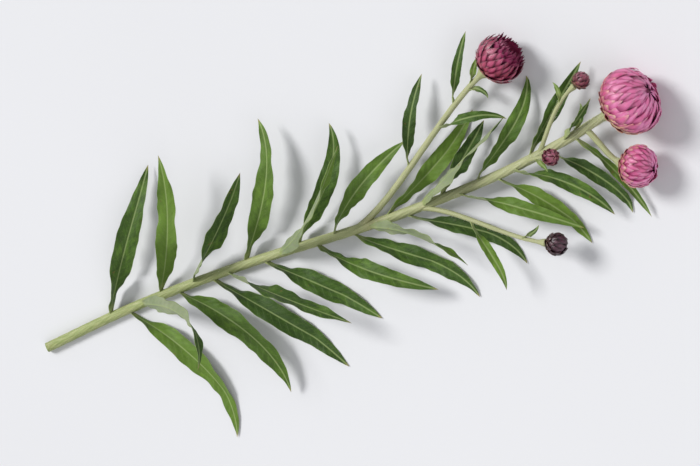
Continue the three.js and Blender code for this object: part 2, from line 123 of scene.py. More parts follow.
BRACT = SimpleNamespace(
    rows=13, columns=9, half_thickness=0.13,
    edge_thickness=0.4,  # as a share of the middle's
    tip_half_width=0.05,
    sink=0.9,  # how deep a bract's root lies in the head's body
    free=0.4,  # share of the length over which it widens and comes free of its neighbours
    root_share=0.62,  # width at the root, as a share of the full width
    cup=0.5,  # radius of the bend across a bract, as a share of the head's radius
    tilt=7,  # degrees by which one edge stands higher, so that neighbours overlap
    blunt=0.55,  # a lower point at the base of the head, as a share, for rounder tips
    crinkle=0.13,  # height of the waves along the edges
    keel=0.1,  # height of the ridge down the middle
    keel_width=0.22,  # as a share of the half width
    lean=0.06,  # how far a tip may lean to a side, as a share of the length
    deep_side_angle=2.4,  # radians round a head's axis to its deeper coloured side
)
# How far bracts stray from their rule, in degrees and shares, with the step of each draw.
STRAY = {"turn": (4, 0.2), "length": (0.08, 0.4), "lift": (3, 0.8), "flare": (8, 0.6),
         "width": (0.13, 0.7), "tint": (1, 0.9)}
MOUTH_BRACT = SimpleNamespace(overlap=1.5, bend=0.6, least_bend=1.2, point=1.1)
DISC = SimpleNamespace(
    head="head_left_bracts",
    inset=0.25,  # from the clearance in the well to the disc
    dome=[(1.0, 0.0), (1.0, 0.8), (0.86, 1.25), (0.6, 1.8), (0.3, 2.2)],  # share, height
    dome_top=2.3, sides=8, count=120,
    reach=0.95,  # share of the radius that carries florets
    base=(2.0, 0.4),  # height of a floret's foot in the middle and at the edge
    height=(0.9, 1.6), lean=0.25,
    floret=[(0.2, 0.0), (0.25, 0.5), (0.32, 0.8), (0.24, 0.95)],  # radius, share of height
)

# Leaves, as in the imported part. Turn is the side a leaf grows on, in degrees from straight up.
LEAVES = SimpleNamespace(
    count=27, first_at=60, spacing=(13.4, 10.2), first_turn=75,
    length=(98, 54), width=(15.5, 8.5), side_turn=93,
)
ALTERED = {
    "leaf_06": {"seed": 106},
    "leaf_17": {"habit": {"spread": (19, 40), "lift": 0.02, "sag": 0.5}},
    "leaf_19": {"seed": 219},
    "leaf_20": {"length": 44, "habit": {"spread": (30, 44), "lift": 0.16, "sag": 0.5, "curl": 0}},
    "leaf_21": {"habit": {"spread": (30, 44), "lift": -0.1, "sag": 0.3, "curl": 0}},
    "leaf_24": {"turn": -62},
    "leaf_26": {"habit": {"spread": (46, 74)}},
    "leaf_27": {"turn": 40, "length": 27, "width": 5,
                "habit": {"spread": (24, 34), "swing": 8, "lift": 0.1, "sag": 0.3}},
    "leaf_fork_right": {"habit": {"spread": (66, 92), "lift": 0, "sag": 0.1}},
}
# Leaves outside the spiral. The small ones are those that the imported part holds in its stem. At
# is x on the main stem, and on a side stalk a parameter from 0 to 1.
LEAF_FIELDS = ("stalk", "at", "turn", "length", "width")
PLACED_LEAVES = {
    "leaf_fork_right": ("main", 371, -96, 52, 5.4),
    "leaf_fork_left": ("left_head", 0.45, 82, 48, 8),
    "leaf_left_stalk": ("left_head", 0.66, -60, 38, 6),
    "leaf_left_under": ("left_head", 0.78, 85, 36, 5.5),
    "leaf_right_stalk": ("right_bud", 0.45, -84, 40, 6),
}
SMALL_LEAVES = {
    "leaflet_main": ("main", 372, 105, 15, 3),
    "leaflet_left_a": ("left_head", 0.9, 75, 14, 3.6),
    "leaflet_left_b": ("left_head", 0.87, -75, 13, 3.2),
    "leaflet_right": ("right_bud", 0.82, 60, 12, 2.8),
    "leaflet_bud_left": ("left_bud", 0.76, 80, 11, 2.8),
    "leaflet_bud_upper": ("upper_bud", 0.5, -70, 11, 3),
}
FIRST_SEED = {"placed": 30, "small": 50}
# Middle value of each part of a leaf's habit and how far it strays, in the order of the draws.
HABIT = {"spread_at_root": (33, 8), "spread_at_tip": (54, 34), "swing": (42, 20),
         "sag": (0.62, 0.24), "roll": (0, 20), "phase": (0, 3), "lift": (0.28, 0.24),
         "curl": (0, 70)}
LEAF = SimpleNamespace(
    line_steps=24, rows=110, small_rows=44, foot_rows=4, small_length=20,
    stand_off=0.55,  # from the foot of the clearance to a leaf's middle line at its root
    small_sink=0.6,  # how deep a small leaf's root lies in its stalk
    foot=0.9,  # how far the root runs back into the stalk, as a share of the stalk's radius
    dive=0.5,  # how deep the foot's end lies in the stalk, as a share of its radius
    joint=0.06,  # share of the length over which the blade comes up from the stalk
    root_width=3.0,
    foot_width=0.45,  # width of the foot's end, as a share of the root's
    tip_half_width=0.08,
    margin=[(0.022, 4.3, 0.31), (0.014, 11.7, 0.37)],  # share, waves, step of its draw
    fold=0.22,  # rise of the edges over the midrib, for each unit across
    wave=1.2,  # height of the waves along the edges
    waves=2.5,  # how many of them from root to tip
    ruffle=0.45,  # height of the fine waves along the edges
    ruffles=7.3,
    full_half_width=5,  # where a leaf is narrower, its waves, veins and midrib are lower
    vein_spacing=5.2, vein_slope=1.25, vein_relief=0.13,
    vein_shift=1.3,  # along the leaf, between the veins of its two sides
    half_thickness=0.2, root_swell=0.25, foot_swell=0.4,
    edge_thickness=0.55, tip_thickness=0.3,  # as shares of the middle's
    rib_width=0.55, rib_height=0.55, groove=0.154,
)
LEAF_COLUMNS = np.array([0, 0.07, 0.14, 0.24, 0.36, 0.48, 0.6, 0.72, 0.83, 0.92, 0.975, 1.0])

# Colours are hexadecimal screen colours. A ramp gives them by their places from 0 to 1.
COLOURS = {
    "leaf": {
        "face": {0.3: "365216", 0.5: "44621c", 0.72: "587626"},
        "underside": {0.3: "7b8764", 0.7: "8c9572"},
        "grain": "304816", "light": "779636", "dark": "283f14", "vein": "83985a",
        "fleck": "6e5a30", "midrib": "96a66c", "edge": "8c9b58", "tip": "8f7b4a",
        "root": "98a26a",
    },
    "stem": {
        "streaks": {0.3: "7d8a4e", 0.5: "949f64", 0.7: "aeb17e"},
        "cut": {0: "e6e6c8", 0.62: "d9dcb4", 0.78: "a9bb78", 0.95: "7f9450"},
        "upper": "bcb797", "blotch": "8c7f58",
    },
    "hair": {"tones": {0.3: "c9cfb4", 0.7: "eef0e2"}},
    "disc": {
        "florets": {0: "d98a1e", 0.45: "c96a18", 0.8: "b4561c", 1: "8a3a1c"},
        "tip": "e8a532", "fleck": "7c3c14", "root": "4d2412",
    },
    "floor": {"tones": {0.3: "d6d6d8", 0.7: "d8d8da"}},
}
MOUTH_COLOURS = {
    "pink": {"length": {0.2: "4c0f2c", 0.65: "7c1f4c", 1: "4c0f2c"}, "fibre": "b0527c"},
    "crimson": {"length": {0.2: "5a1232", 0.65: "8a2450", 1: "5a1232"}, "fibre": "b0527c"},
}
# Colours of the bracts by their place on the head, from its base (0) to its mouth (1). Root is
# the colour low on a bract, deepened as painted shade where the bracts above cover it; face its
# middle; edge its two sides, partly their own deeper margins and partly painted shade between
# neighbours; tip its papery end. Then come a painted highlight, for pale streaks of reflected
# light, the deeper colour of one side of each head, and how far that side turns to it.
BRACT_COLOURS = {
    "pink": {
        "root": {0: "6b3328", 0.25: "7c2140", 0.6: "9c2a66", 1: "8f2560"},
        "face": {0: "a86a58", 0.12: "ac5060", 0.25: "c65a84", 0.45: "e47aae", 1: "f490c2"},
        "edge": {0: "b87452", 0.2: "c27868", 0.38: "bc4e80", 0.6: "c44288", 1: "b4387e"},
        "tip": {0: "cca678", 0.3: "f0cca8", 0.45: "f4c4b4", 0.65: "f4aecc", 1: "c24f94"},
        "painted_highlight": "ffd3ea", "sunned": "8a1546", "deep_tone_share": 0.62,
    },
    "crimson": {
        "root": {0: "4c1c22", 0.5: "5a1230", 1: "470c26"},
        "face": {0: "965048", 0.2: "ac3f58", 0.5: "c04a70", 1: "b03c68"},
        "edge": {0: "7c3c34", 0.4: "8f284a", 1: "661436"},
        "tip": {0: "9a7050", 0.2: "a05a54", 0.5: "7c2240", 0.8: "5a1230", 1: "420a22"},
        "painted_highlight": "e79ab4", "sunned": "560f2a", "deep_tone_share": 0.45,
    },
    "dusk": {
        "root": {0: "3c2018", 0.5: "4a1424", 1: "5c1c34"},
        "face": {0: "74503a", 0.3: "85384a", 0.7: "8e3252", 1: "a85870"},
        "edge": {0: "5e3a2a", 0.5: "5e1a30", 1: "8a3c54"},
        "tip": {0: "967550", 0.4: "985858", 1: "c99a94"},
        "painted_highlight": "e0a2b0", "sunned": "46101f", "deep_tone_share": 0.45,
    },
    "burgundy": {
        "root": {0: "2a1c14", 0.5: "220c14", 1: "280e1a"},
        "face": {0: "503c2c", 0.3: "4c2632", 0.7: "4c2034", 1: "5a2440"},
        "edge": {0: "3e2c20", 0.5: "34121e", 1: "3a1424"},
        "tip": {0: "66502f", 0.3: "5c3034", 1: "34101f"},
        "painted_highlight": "84505f", "sunned": "260a14", "deep_tone_share": 0.45,
    },
}

# The studio, in metres, degrees and, for the lens, millimetres.
FLOOR_REACH = 60.0  # far enough that a low view shows no edge
SKY = SimpleNamespace(colour="f2f4f8", strength=0.54)
# Far soft lights: where each comes from, the angle that it fills and its strength.
LIGHTS = {"key": ((-0.85, 1.25, 1.7), 20, 2.65), "fill": ((0.85, -0.9, 1.1), 40, 0.55)}
CAMERA = SimpleNamespace(target=(0.027, 0.004, 0.012), distance=0.73, lean=28, roll=19, lens=70)


def lerp(a, b, t):
    return a + (b - a) * t


def smooth(x, low, high):
    t = np.clip((x - low) / (high - low), 0, 1)
    return t * t * (3 - 2 * t)


def unit(v):
    return v / np.linalg.norm(v, axis=-1, keepdims=True)


def dot(a, b):
    return np.sum(a * b, axis=-1, keepdims=True)


def around(sides):
    """Angles evenly round a circle."""
    return np.arange(sides) * FULL_TURN / sides


def draw(seed):
    """A repeatable draw between -1 and 1."""
    x = sin(seed * 127.1 + 311.7) * 43758.5453
    return 2 * (x - math.floor(x)) - 1


def spline(points, k):
    """The place k on a smooth line through the given points, which lie one unit apart."""
    padded = np.concatenate([[2 * points[0] - points[1]], points, [2 * points[-1] - points[-2]]])
    i = np.clip(np.floor(k).astype(int), 0, len(points) - 2)
    w = (k - i)[..., None]
    before, a, b, after = (padded[i + step] for step in range(4))
    m0, m1 = 0.5 * (b - before), 0.5 * (after - a)
    return a + m0 * w + (3 * (b - a) - 2 * m0 - m1) * w**2 + (2 * (a - b) + m0 + m1) * w**3


# Pieces

class Piece:
    """A mesh of closed parts, with values at its points for its material."""

    def __init__(self, name):
        self.name = name
        self.points, self.faces, self.rims, self.values = [], [], [], {}
        self.count = 0

    def add(self, points, *faces, rims=0, **values):
        """Adds a closed part. faces are arrays, each of faces with the same number of corners."""
        self.points.append(points)
        for group in faces:
            self.faces.extend((group + self.count).tolist())
        self.rims.append(np.broadcast_to(rims, len(points)))
        for key, value in values.items():
            self.values.setdefault(key, []).append(np.broadcast_to(value, len(points)))
        self.count += len(points)

    def build(self, material, slot, *nodes):
        """Makes the object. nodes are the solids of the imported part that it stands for."""
        points = (np.concatenate(self.points) - ORIGIN) * MILLIMETRE
        points[:, 2] = np.maximum(points[:, 2], 0)
        mesh = bpy.data.meshes.new(self.name)
        mesh.from_pydata(points.tolist(), [], self.faces)
        mesh.polygons.foreach_set("use_smooth", [True] * len(mesh.polygons))
        for key, parts in self.values.items():
            layer = mesh.attributes.new(key, "FLOAT", "POINT")
            layer.data.foreach_set("value", np.concatenate(parts).astype(np.float32))
        self.mark_sharp(mesh)
        mesh.materials.append(material)
        piece = new_object(self.name, mesh)
        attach(piece, "root")
        if nodes:
            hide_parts(*nodes)

    def mark_sharp(self, mesh):
        """Marks the edges along a part's rims sharp. A rim's points have a number above 0."""
        ends = np.empty(2 * len(mesh.edges), np.int32)
        mesh.edges.foreach_get("vertices", ends)
        a, b = np.concatenate(self.rims)[ends.reshape(-1, 2)].T
        layer = mesh.attributes.new("sharp_edge", "BOOLEAN", "EDGE")
        layer.data.foreach_set("value", (a > 0) & (a == b))


def new_object(name, data):
    thing = bpy.data.objects.new(name, data)
    bpy.context.scene.collection.objects.link(thing)
    return thing


def faces_of(*corners):
    """Faces from arrays that hold the first corners, the second corners and so on."""
    return np.stack([c.ravel() for c in corners], axis=1)


@cache
def sheet_faces(rows, columns):
    """Faces of a closed sheet: its top points come first, row by row, and then its low ones."""
    top = np.arange(rows * columns).reshape(rows, columns)
    low = top + rows * columns
    return np.concatenate([
        faces_of(top[:-1, :-1], top[1:, :-1], top[1:, 1:], top[:-1, 1:]),
        faces_of(low[:-1, :-1], low[:-1, 1:], low[1:, 1:], low[1:, :-1]),
        faces_of(low[:-1, 0], low[1:, 0], top[1:, 0], top[:-1, 0]),
        faces_of(top[:-1, -1], top[1:, -1], low[1:, -1], low[:-1, -1]),
        faces_of(low[0, :-1], top[0, :-1], top[0, 1:], low[0, 1:]),
        faces_of(low[-1, :-1], low[-1, 1:], top[-1, 1:], top[-1, :-1]),
    ])


def add_sheet(piece, middle, normal, rise, fall, **values):
    """Adds a closed sheet whose faces lie rise over and fall under its middle."""
    grid = middle.shape[:2]
    top = middle + normal * rise[..., None]
    low = middle - normal * fall[..., None]
    points = np.concatenate([top.reshape(-1, 3), low.reshape(-1, 3)])
    both = {k: np.tile(np.broadcast_to(v, grid).ravel(), 2) for k, v in values.items()}
    under = np.repeat([0.0, 1.0], math.prod(grid))
    rim = np.ones(grid, int)
    rim[1:-1, 1:-1] = 0
    rims = np.tile(rim.ravel(), 2) * (1 + under)
    piece.add(points, sheet_faces(*grid), rims=rims, under=under, **both)


@cache
def round_faces(rings, sides):
    """Squares and triangles of a closed round form: a first point, rings and a last point."""
    grid = 1 + np.arange(rings * sides).reshape(rings, sides)
    following = np.roll(grid, -1, axis=1)
    first, last = np.zeros(sides, int), np.full(sides, 1 + rings * sides)
    squares = faces_of(grid[:-1], following[:-1], following[1:], grid[1:])
    ends = [faces_of(first, following[0], grid[0]), faces_of(last, grid[-1], following[-1])]
    return squares, np.concatenate(ends)


def add_round(piece, first, rings, last, **values):
    """Adds a closed round form. rings has the shape (rings, sides, 3).

    A value is one number, or three parts: for the first point, the rings and the last point."""
    grid = rings.shape[:2]
    points = np.concatenate([[first], rings.reshape(-1, 3), [last]])
    for key, value in values.items():
        if isinstance(value, tuple):
            start, middle, end = value
            middle = np.broadcast_to(middle, grid).ravel()
            values[key] = np.concatenate([[start], middle, [end]])
    piece.add(points, *round_faces(*grid), **values)


# Stalks

def stem_parameter(x):
    """The main stem's parameter at a distance x from the cut end."""
    low, high = 0.0, 1.0
    for _ in range(40):
        middle = (low + high) / 2
        before = stalk_point("main", middle)[0] < x
        low, high = (middle, high) if before else (low, middle)
    return low


@cache
def stalk_knots(name):
    start = stalk_point("main", stem_parameter(STALKS[name]["fork"]))
    return np.array([start, *STALKS[name]["bend"], STALKS[name]["end"]])


def stalk_point(name, t):
    """The middle of a stalk at a parameter from 0 to 1."""
    if name == "main":
        return spline(STEM_PATH, (len(STEM_PATH) - 1) * np.float64(t))
    a, b, c, d = stalk_knots(name)
    k = 1 - t
    return k**3 * a + 3 * k * k * t * b + 3 * k * t * t * c + t**3 * d


def tangent(name, t):
    step = 1e-4
    return unit(stalk_point(name, min(1, t + step)) - stalk_point(name, max(0, t - step)))


def stalk_radius(name, t):
    """A stalk's radius, which swells where its head sits."""
    left = np.linalg.norm(stalk_point(name, t) - stalk_point(name, 1))
    swelling = smooth(1 - left / FLARE_LENGTH, 0, 1) ** 1.5
    return lerp(lerp(*STALKS[name]["radius"], t), STALKS[name]["flare"], swelling)


def cross_frame(name, t):
    """A stalk's direction with the two across it: level, and as upright as it can."""
    along = tangent(name, t)
    side = unit(np.cross(UP, along))
    return along, side, np.cross(along, side)


def stalk_rings(name, steps, sides):
    """Ribbed rings along a stalk, the length along it of each and the turn of their points."""
    turn = around(sides)[:, None]
    middles = np.array([stalk_point(name, i / steps) for i in range(steps + 1)])
    lengths = np.cumsum([0, *np.linalg.norm(np.diff(middles, axis=0), axis=1)])
    rings = []
    for i, (middle, length) in enumerate(zip(middles, lengths)):
        along, side, rise = cross_frame(name, i / steps)
        wave = np.cos(RIBS.count * (turn + FULL_TURN * RIBS.twist * length))
        radius = stalk_radius(name, i / steps) * (RIBS.middle + RIBS.height * wave)
        ring = middle + radius * (np.cos(turn) * side + np.sin(turn) * rise)
        if name == "main":
            slant = CUT.slope * max(0, 1 - i / CUT.steps)
            ring += along * slant * radius * (1 + np.sin(turn))
        rings.append(ring)
    return np.array(rings), lengths[:, None], turn[:, 0]


def main_stem():
    """The main stem, with rings across its cut for the pale pith."""
    piece = Piece("main_stem")
    rings, lengths, turn = stalk_rings("main", *STALK_GRID["main"])
    along, middle = tangent("main", 0), rings[0].mean(axis=0)
    cut = [middle + share * (rings[0] - middle) + back * along for share, back in CUT.rings]
    rings = np.concatenate([cut, rings[1:]])
    lengths = np.concatenate([np.zeros((len(cut), 1)), lengths[1:]])
    pith = np.ones((len(rings), 1))
    pith[:len(cut), 0] = [share for share, _ in CUT.rings]
    on_cut = np.arange(len(rings))[:, None] < len(cut)
    end = stalk_point("main", 1) + 0.3 * tangent("main", 1)
    add_round(piece, middle + CUT.bulge * along, rings, end,
              along_mm=(0, lengths, STEM_PATH[-1][0]), turn=(0, turn, 0),
              cut=(1, on_cut, 0), pith=(0, pith, 1))
    piece.build(stem_material(), "stem", "stem")


def side_stalk(name):
    piece = Piece("stalk_" + name)
    rings, lengths, turn = stalk_rings(name, *STALK_GRID["side"])
    end = stalk_point(name, 1) + 0.2 * tangent(name, 1)
    add_round(piece, stalk_point(name, 0), rings, end,
              along_mm=(300, lengths + 300, 400), turn=(0, turn, 0), cut=0.0, pith=1.0)
    piece.build(stem_material(), "stem", "stem")


def stem_hairs():
    """Fine white hairs on the stalks, as slim pyramids."""
    piece = Piece("stem_hairs")
    faces = np.array([[1, 0, 3], [2, 1, 3], [0, 2, 3], [0, 1, 2]])
    rng = np.random.default_rng(HAIRS.seed)
    for name, count in HAIRS.count.items():
        for t in rng.uniform(*HAIRS.along, count):
            along, side, rise = cross_frame(name, t)
            turn = rng.uniform(0, FULL_TURN)
            out = cos(turn) * side + sin(turn) * rise
            root = stalk_point(name, t) + out * HAIRS.root * stalk_radius(name, t)
            lean = unit(out + HAIRS.lean * rng.normal(size=3))
            length = rng.uniform(*HAIRS.length)
            if root[2] + lean[2] * length < HAIRS.clearance:
                continue
            a, b = HAIRS.foot * np.cross(lean, along), HAIRS.foot * along
            tip = root + lean * (length + HAIRS.sunk)
            piece.add(np.array([root + a, root - a / 2 + b, root - a / 2 - b, tip]), faces)
    piece.build(hair_material(), "stem")


# Leaves

def leaf_habit(spec):
    """How a leaf leaves its stalk, curls, bends aside, sinks and rolls."""
    drawn = {key: middle + stray * draw(spec["seed"] + i / 10)
             for i, (key, (middle, stray)) in enumerate(HABIT.items(), 1)}
    side = 1 if spec["turn"] >= 0 else -1
    upright = max(0, cos(radians(spec["turn"])))
    return {
        "spread": (drawn["spread_at_root"], drawn["spread_at_tip"]),
        "curl": max(0, drawn["curl"]),
        "swing": side * upright * drawn["swing"],
        "lift": drawn["lift"] * (1 - upright),
        "sag": drawn["sag"] + 0.2 * upright,
        "facing": 0.9 * smooth(abs(spec["turn"]), 20, 60),
        "roll": drawn["roll"], "phase": drawn["phase"],
        **spec.get("habit", {}),
    }


def outwards(along, turn):
    """The way out of a stalk on the side given, in degrees from straight up."""
    rise = unit(UP - dot(UP, along) * along)
    left = np.cross(rise, along)
    return sin(radians(turn)) * left + cos(radians(turn)) * rise


def leaf_root(spec):
    """The middle of a leaf's stalk where it stands, and the stalk's direction and radius."""
    name = spec["stalk"]
    t = stem_parameter(spec["at"]) if name == "main" else spec["at"]
    return stalk_point(name, t), tangent(name, t), stalk_radius(name, t)


def leaf_line(spec, habit, root):
    """A leaf's middle line, and the way its upper face looks by growth."""
    base, along, radius = root
    point = base + outwards(along, spec["turn"]) * (radius + spec["offset"])
    points, natural = [point], []
    steps = LEAF.line_steps
    for i in range(steps + 1):
        s = i / steps
        spread = radians(lerp(*habit["spread"], s) + habit["curl"] * s**3)
        out = outwards(along, spec["turn"] + habit["swing"] * s)
        natural.append(along * sin(spread) - out * cos(spread))
        step = along * cos(spread) + out * sin(spread)
        step = step + UP * (habit["lift"] - habit["sag"] * s)
        point = point + unit(step) * spec["length"] / steps
        point[2] = max(point[2], SURFACE_CLEARANCE)
        points.append(point)
    return np.array(points), np.array(natural)


def leaf_rows(length):
    """For each row its share of the leaf's length, and of its foot, which ends in the stalk."""
    rows = LEAF.rows if length > LEAF.small_length else LEAF.small_rows
    blade = 1 - (1 - np.linspace(0, 1, rows)) ** 1.15
    foot = np.linspace(1, 0, LEAF.foot_rows + 1)[:-1]
    return np.concatenate([0 * foot, blade]), np.concatenate([foot, 0 * blade])


def leaf_middle(spec, habit, root, s, foot):
    """The middle of each row, with the directions across the leaf and out of its upper face."""
    points, natural = leaf_line(spec, habit, root)
    _, stalk_along, radius = root
    k = s * LEAF.line_steps
    along = unit(spline(points, k + 1) - spline(points, np.maximum(0, k - 1)))
    joint = max(0, spec["offset"]) * (1 - smooth(s, 0, LEAF.joint))
    dive = np.maximum(0, (LEAF.dive * radius + min(0, spec["offset"])) * foot)
    inwards = (joint + dive)[:, None] * outwards(stalk_along, spec["turn"])
    back = (LEAF.foot * radius * foot)[:, None] * along
    natural = np.stack([np.interp(k, np.arange(len(part)), part) for part in natural.T], 1)
    face = leaf_face(along, natural, habit, s)
    return spline(points, k) - back - inwards, np.cross(face, along), face


def leaf_face(along, natural, habit, s):
    """Where a leaf's upper face looks. Its base faces the stem; further out it turns up."""
    level = unit(UP - dot(UP, along) * along)
    start = unit(natural - dot(natural, along) * along)
    sine = dot(np.cross(level, start), along)[:, 0]
    angle = np.unwrap(np.arctan2(sine, dot(level, start)[:, 0]))
    end = angle * (1 - habit["facing"]) + radians(habit["roll"])
    turn = lerp(angle, end, smooth(s, 0, 0.6))[:, None]
    return level * np.cos(turn) + np.cross(along, level) * np.sin(turn)


def leaf_half_width(spec, radius, s, foot, u):
    """Half the width of each row, with uneven edges and the narrower foot."""
    width, seed = spec["width"], spec["seed"]
    root = 0.5 * min(LEAF.root_width, 0.7 * width, 1.4 * radius) * (1 - s) ** 3
    blade = 1.45 * width * s**0.9 * (1 - s) ** 0.92
    half = np.maximum(LEAF.tip_half_width, root + blade) * lerp(1, LEAF.foot_width, foot)
    margin = 1
    for share, waves, step in LEAF.margin:
        phase = 9 * np.where(u < 0, draw(seed - step), draw(seed + step))
        margin = margin + share * np.sin(FULL_TURN * waves * s + phase)
    return half * lerp(1, margin, np.minimum(1, 6 * s))


def leaf_bend(phase, s, u, x, y, size):
    """How far a leaf's points stand off its middle plane: fold, waves, ruffles and side veins."""
    far, side = np.abs(u), np.where(u < 0, -1, 1)
    ripple = np.sin(FULL_TURN * LEAF.waves * s + u * 1.3 + phase)
    ruffle = np.sin(FULL_TURN * LEAF.ruffles * s + side * 1.9 + 2 * phase)
    path = y - LEAF.vein_slope * np.abs(x) + LEAF.vein_shift * side
    vein = np.cos(FULL_TURN * path / LEAF.vein_spacing)
    between = smooth(far, 0.05, 0.3) * (1 - smooth(far, 0.75, 1))
    return (LEAF.fold * np.abs(x) * np.minimum(1, 5 * s)
            + LEAF.wave * ripple * size * u**2
            + LEAF.ruffle * ruffle * size * far**3
            - LEAF.vein_relief * vein * between * size)


def leaf_thickness(s, foot, u, x, y, size):
    """How far a leaf's upper and lower face lie off its middle, with the groove and midrib."""
    thin = LEAF.half_thickness * lerp(1, LEAF.edge_thickness, smooth(np.abs(u), 0.5, 1))
    thin = thin * lerp(1, LEAF.tip_thickness, smooth(s, 0.85, 1))
    thin = thin + LEAF.root_swell * np.exp(-y)
    thin = thin + LEAF.foot_swell * np.maximum(0, foot - 1 / LEAF.foot_rows)
    ridge = np.exp(-((x / LEAF.rib_width) ** 2)) * (1 - s) ** 0.7 * size
    groove = LEAF.groove * ridge * smooth(s, 0.02, 0.12)
    return thin - groove, thin + LEAF.rib_height * ridge


def leaf(name, spec, node):
    """One leaf, as a thin closed sheet."""
    habit, root = leaf_habit(spec), leaf_root(spec)
    s, foot = leaf_rows(spec["length"])
    centre, across, face = (v[:, None] for v in leaf_middle(spec, habit, root, s, foot))
    s, foot = s[:, None], foot[:, None]
    u = np.concatenate([-LEAF_COLUMNS[:0:-1], LEAF_COLUMNS])[None, :]
    half = leaf_half_width(spec, root[2], s, foot, u)
    x, y = u * half, s * spec["length"]
    size = np.minimum(1, half / LEAF.full_half_width)
    bend = leaf_bend(habit["phase"], s, u, x, y, size)
    rise, fall = leaf_thickness(s, foot, u, x, y, size)
    middle = centre + across * x[..., None] + face * bend[..., None]
    middle[..., 2] = np.maximum(middle[..., 2], fall * np.abs(face[..., 2]))
    piece = Piece(name)
    add_sheet(piece, middle, face, rise, fall, along=s, along_mm=y, across_mm=x, edge=np.abs(u),
              tint=draw(spec["seed"] + 0.9))
    piece.build(leaf_material(), "leaf", node)


def main_leaf(i, name):
    """A leaf of the main stem, from its number in the spiral."""
    changed = ALTERED.get(name, {})
    seed = changed.get("seed", i)
    share = i / (LEAVES.count - 1)
    free = (LEAVES.first_turn + i * GOLDEN_ANGLE + 180) % 360 - 180
    return {
        "seed": seed, "stalk": "main",
        "at": LEAVES.first_at + i * lerp(*LEAVES.spacing, share / 2),
        "offset": GAP + LEAF.stand_off,
        "turn": math.copysign(min(abs(free), LEAVES.side_turn), free),
        "length": lerp(*LEAVES.length, share) * (1 + 0.12 * draw(seed + 0.15)),
        "width": lerp(*LEAVES.width, share) * (1 + 0.1 * draw(seed + 0.25)),
        **changed,
    }


def listed_leaf(name, row, seed, offset):
    """A leaf from its row in one of the lists."""
    spec = dict(zip(LEAF_FIELDS, row))
    return {"seed": seed, "offset": offset, **spec, **ALTERED.get(name, {})}


def all_leaves():
    for i in range(LEAVES.count):
        node = f"leaf_{i + 1:02d}"
        leaf(node + "_blade", main_leaf(i, node), node)
    for i, (node, row) in enumerate(PLACED_LEAVES.items(), FIRST_SEED["placed"]):
        leaf(node + "_blade", listed_leaf(node, row, i, GAP + LEAF.stand_off), node)
    for i, (name, row) in enumerate(SMALL_LEAVES.items(), FIRST_SEED["small"]):
        leaf(name, listed_leaf(name, row, i, -LEAF.small_sink), "stem")


# Heads

def body(head, latitude):
    """A head's body at a latitude: its radius, height, slope and length for each radian.

    The slope is 0 straight up and a quarter turn straight out."""
    radius, half = head["radius"], head["half_height"]
    out, up = -radius * sin(latitude), half * cos(latitude)
    height = half * BODY_SEAT + half * sin(latitude)
    return radius * cos(latitude), height, math.atan2(out, up), math.hypot(out, up)


def mouth_latitude(head):
    """Where the body ends, at the rim of the mouth or near the top of a closed bud."""
    return math.acos(head["mouth"] / head["radius"]) if head["mouth"] else radians(BUD_TOP)


def head_place(head):
    """The matrix from a head's own frame, with its base at 0 and its axis up, to the stem's."""
    turn = Vector(UP).rotation_difference(Vector(tangent(head["stalk"], 1)))
    place = Matrix.Translation(Vector(stalk_point(head["stalk"], 1)))
    return np.array(place @ turn.to_matrix().to_4x4())


def placed(points, place):
    return points @ place[:3, :3].T + place[:3, 3]


def add_turned(piece, place, first, circles, last, sides, **values):
    """Adds a round form of level circles, given by middle and radius, between two end points."""
    turn = around(sides)
    circle = np.stack([np.cos(turn), np.sin(turn), 0 * turn], 1)
    rings = np.array([middle + radius * circle for middle, radius in circles])
    first, last = placed(np.array([first, last]), place)
    add_round(piece, first, placed(rings, place), last, **values)


def head_body(name, head, place):
    """The head's closed core, with a well at its mouth. It shows only between the bracts."""
    piece = Piece(name.replace("bracts", "core"))
    middle = head["half_height"] * BODY_SEAT
    first = math.asin((GAP - middle) / head["half_height"])
    latitudes = np.linspace(first, mouth_latitude(head), CORE.steps + 1)
    outline = [body(head, latitude)[:2] for latitude in latitudes]
    profile = [(lerp(middle, z, CORE.share) * UP, CORE.share * r) for r, z in outline]
    if head["mouth"]:
        floor = (outline[-1][1] - head["mouth_depth"]) * UP
        wall = CORE.share * CORE.well * head["mouth"]
        profile += [(floor, wall), (floor, 0.5 * wall)]
    add_turned(piece, place, profile[0][0], profile, profile[-1][0], CORE.sides,
               row=(0, np.linspace(0, 1, len(profile))[:, None], 1))
    piece.build(core_material(head["finish"]), SLOTS[head["finish"]], name)


def bract_half_width(width, s, point):
    """Half the width of a bract from root to tip. A higher point gives a sharper tip."""
    body = np.sin(math.pi * np.minimum(1, 0.24 + 0.76 * s)) ** point
    half = 0.5 * width * lerp(BRACT.root_share, 1, smooth(s, 0, BRACT.free)) * body
    return np.maximum(BRACT.tip_half_width, half)


def bract_line(start, slopes, length):
    """Radius, height and slope along the middle of a bract."""
    slope = lerp(*slopes, np.linspace(0, 1, BRACT.rows))
    middle_slope = (slope[1:] + slope[:-1]) / 2
    step = length / (BRACT.rows - 1)
    r = start[0] + np.cumsum([0, *(step * np.sin(middle_slope))])
    z = start[1] + np.cumsum([0, *(step * np.cos(middle_slope))])
    return r[:, None], z[:, None], slope[:, None]


def bract_sag(s, u, half, bend_radius, seed):
    """How far a bract's points lie inside its middle line: its cup, tilt, crinkle and keel."""
    free = smooth(s, 0, BRACT.free)
    tilt = math.tan(radians(BRACT.tilt + 5 * draw(seed + 0.11))) * u * half * free
    crinkle = BRACT.crinkle * np.sin(9 * s + 2.5 * u + 9 * draw(seed + 0.21)) * u**2
    keel = BRACT.keel * np.exp(-((u / BRACT.keel_width) ** 2))
    relief = (crinkle + keel) * np.minimum(1, half / 1.5) * free
    return (u * half) ** 2 / (2 * bend_radius) - tilt - relief


